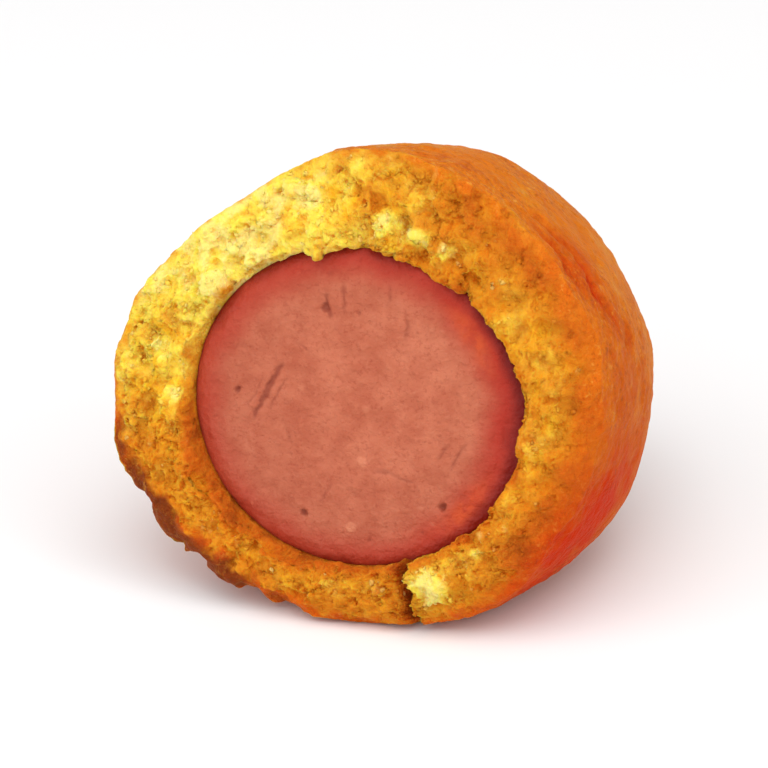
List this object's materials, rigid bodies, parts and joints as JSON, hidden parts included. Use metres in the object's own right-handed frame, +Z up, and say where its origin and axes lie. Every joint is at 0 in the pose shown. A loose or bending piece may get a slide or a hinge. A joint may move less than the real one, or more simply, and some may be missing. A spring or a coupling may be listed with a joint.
{
  "type": "corn dog",
  "caption": "Mini corn dog broken open across its middle, lying on its side: a cooked sausage inside a golden fried cornmeal batter, with a torn crumbly face and a rounded whole end.",
  "frame": {"origin": "middle of the underside of the whole half's box, on the surface that it lies on", "axes": "+Y from the broken face towards the whole end, +X to the right as seen facing the broken face, +Z up"},
  "size_m": [0.03, 0.0284, 0.0284],
  "materials": {
    "batter": "fried cornmeal crust, golden orange and softly glossy, yellow and crumbly where it is torn",
    "sausage": "moist cooked sausage meat, salmon pink with a redder edge"
  },
  "bodies": {
    "root": {"batter": "batter", "sausage": "sausage"}
  },
  "joints": []
}
